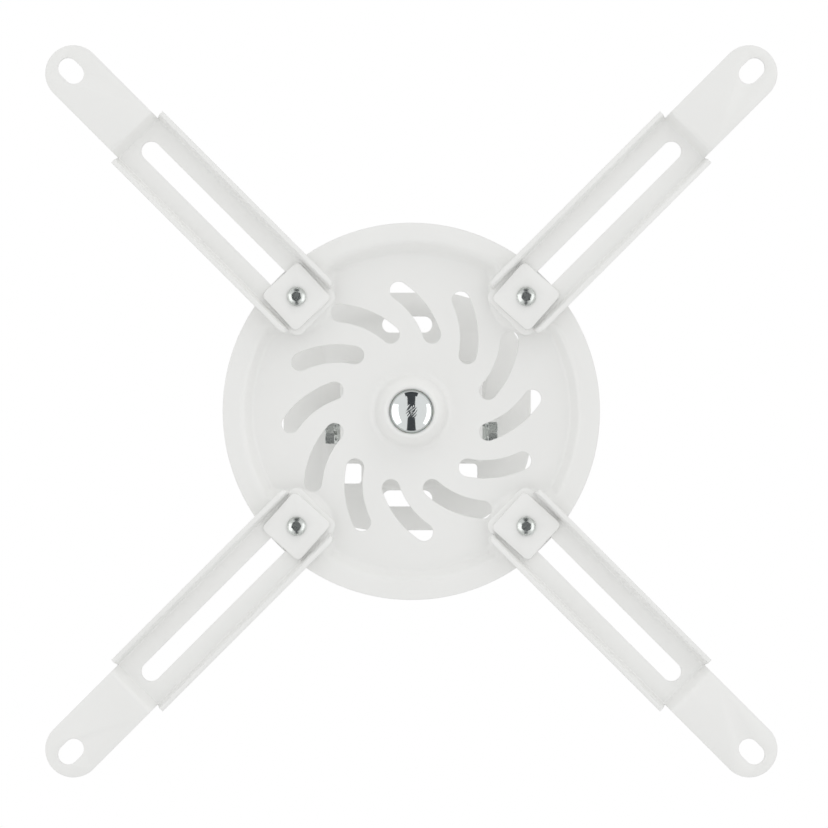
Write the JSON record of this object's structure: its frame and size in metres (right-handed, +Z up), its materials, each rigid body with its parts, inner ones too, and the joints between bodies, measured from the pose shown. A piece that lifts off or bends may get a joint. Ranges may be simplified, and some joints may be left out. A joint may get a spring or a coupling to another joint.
{
  "type": "projector mount",
  "caption": "Ceiling mount for a projector: a ball joint under a plate carries a pressed pinwheel dish with four slotted arms that swivel and slide to meet the projector's threads.",
  "frame": {"origin": "on the ceiling plate's upper face, straight above the ball", "axes": "+Z up into the ceiling; X and Y along the ceiling plate's sides, so that the arms lie on the diagonals"},
  "size_m": [0.3278, 0.3278, 0.086],
  "materials": {
    "white_paint": "white powder coat, satin",
    "chrome": "polished chrome plate",
    "zinc": "bright zinc plate",
    "nylon": "natural nylon",
    "friction_fibre": "dark fibre-filled plastic"
  },
  "bodies": {
    "ceiling": {"ceiling_plate": "white_paint", "ceiling_channel": "white_paint", "hub_bracket": "white_paint", "side_bolt_1": "zinc", "side_bolt_2": "zinc", "flat_washer_1": "zinc", "flat_washer_2": "zinc", "spring_washer_1": "zinc", "spring_washer_2": "zinc", "side_nut_1": "zinc", "side_nut_2": "zinc", "ball_stud": "chrome", "stud_washer": "zinc", "stud_nut": "zinc", "lock_washer": "zinc"},
    "seat": {"ball_seat": "nylon"},
    "ring": {"friction_ring": "friction_fibre"},
    "dish": {"carrier_dish": "white_paint", "upper_cup": "white_paint", "guide_bush_1": "zinc", "guide_bush_2": "zinc", "guide_bush_3": "zinc", "guide_bush_4": "zinc", "clamp_screw_1": "zinc", "clamp_screw_2": "zinc", "clamp_screw_3": "zinc", "clamp_screw_4": "zinc"},
    "clamp_1": {"clamp_plate_1": "white_paint"},
    "arm_1_body": {"arm_1": "white_paint"},
    "clamp_2": {"clamp_plate_2": "white_paint"},
    "arm_2_body": {"arm_2": "white_paint"},
    "clamp_3": {"clamp_plate_3": "white_paint"},
    "arm_3_body": {"arm_3": "white_paint"},
    "clamp_4": {"clamp_plate_4": "white_paint"},
    "arm_4_body": {"arm_4": "white_paint"}
  },
  "joints": [
    {"name": "tilt_x", "type": "hinge", "parent": "ceiling", "child": "seat", "pos_m": [0, 0, -0.07], "axis": [1, 0, 0], "range_deg": [-12, 12]},
    {"name": "tilt_y", "type": "hinge", "parent": "seat", "child": "ring", "pos_m": [0, 0, -0.07], "axis": [0, 1, 0], "range_deg": [-12, 12]},
    {"name": "dish_spin", "type": "hinge", "parent": "ring", "child": "dish", "pos_m": [0, 0, -0.07], "axis": [0, 0, 1], "continuous": true},
    {"name": "arm_swivel_1", "type": "hinge", "parent": "dish", "child": "clamp_1", "pos_m": [0.05162, -0.05162, -0.076], "axis": [0, 0, 1], "range_deg": [-30, 30]},
    {"name": "arm_reach_1", "type": "slide", "parent": "clamp_1", "child": "arm_1_body", "axis": [0.7071, -0.7071, 0], "range_m": [-0.032, 0]},
    {"name": "arm_swivel_2", "type": "hinge", "parent": "dish", "child": "clamp_2", "pos_m": [-0.05162, -0.05162, -0.076], "axis": [0, 0, 1], "range_deg": [-30, 30]},
    {"name": "arm_reach_2", "type": "slide", "parent": "clamp_2", "child": "arm_2_body", "axis": [-0.7071, -0.7071, 0], "range_m": [-0.032, 0]},
    {"name": "arm_swivel_3", "type": "hinge", "parent": "dish", "child": "clamp_3", "pos_m": [-0.05162, 0.05162, -0.076], "axis": [0, 0, 1], "range_deg": [-30, 30]},
    {"name": "arm_reach_3", "type": "slide", "parent": "clamp_3", "child": "arm_3_body", "axis": [-0.7071, 0.7071, 0], "range_m": [-0.032, 0]},
    {"name": "arm_swivel_4", "type": "hinge", "parent": "dish", "child": "clamp_4", "pos_m": [0.05162, 0.05162, -0.076], "axis": [0, 0, 1], "range_deg": [-30, 30]},
    {"name": "arm_reach_4", "type": "slide", "parent": "clamp_4", "child": "arm_4_body", "axis": [0.7071, 0.7071, 0], "range_m": [-0.032, 0]}
  ]
}
